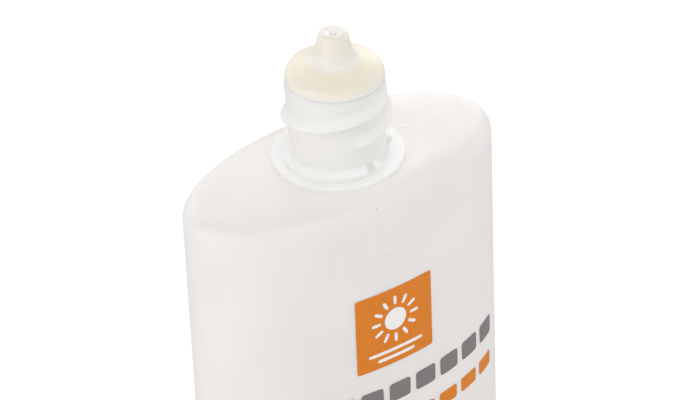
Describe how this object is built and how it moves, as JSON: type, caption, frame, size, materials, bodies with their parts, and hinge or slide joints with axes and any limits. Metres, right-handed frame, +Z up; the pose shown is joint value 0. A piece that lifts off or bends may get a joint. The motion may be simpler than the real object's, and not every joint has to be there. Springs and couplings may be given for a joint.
{
  "type": "sunscreen bottle",
  "caption": "Oval squeeze bottle for fluid sunscreen with a threaded neck, a pull-out drip nozzle plug and an oval cap standing off beside it.",
  "frame": {"origin": "centre of the bottle's foot, on the plane of the ring it stands on", "axes": "+Z up along the neck, +X along the bottle's wide axis, the printed face looks along -Y"},
  "size_m": [0.0771, 0.0548, 0.0922],
  "materials": {
    "bottle": "satin, translucent milky polyethylene, blow moulded",
    "nozzle_plug": "smooth, translucent ivory low-density polyethylene, moulded",
    "cap": "satin white moulded plastic"
  },
  "bodies": {
    "bottle": {"bottle": "bottle"},
    "nozzle_plug": {"nozzle_plug": "nozzle_plug"},
    "cap": {"cap": "cap"}
  },
  "joints": [
    {"name": "plug_pull", "type": "slide", "parent": "bottle", "child": "nozzle_plug", "axis": [0, 0, 1], "range_m": [0, 0.012]},
    {"name": "cap_lift", "type": "slide", "parent": "bottle", "child": "cap", "axis": [0, 0, 1], "range_m": [0, 0.095]}
  ]
}
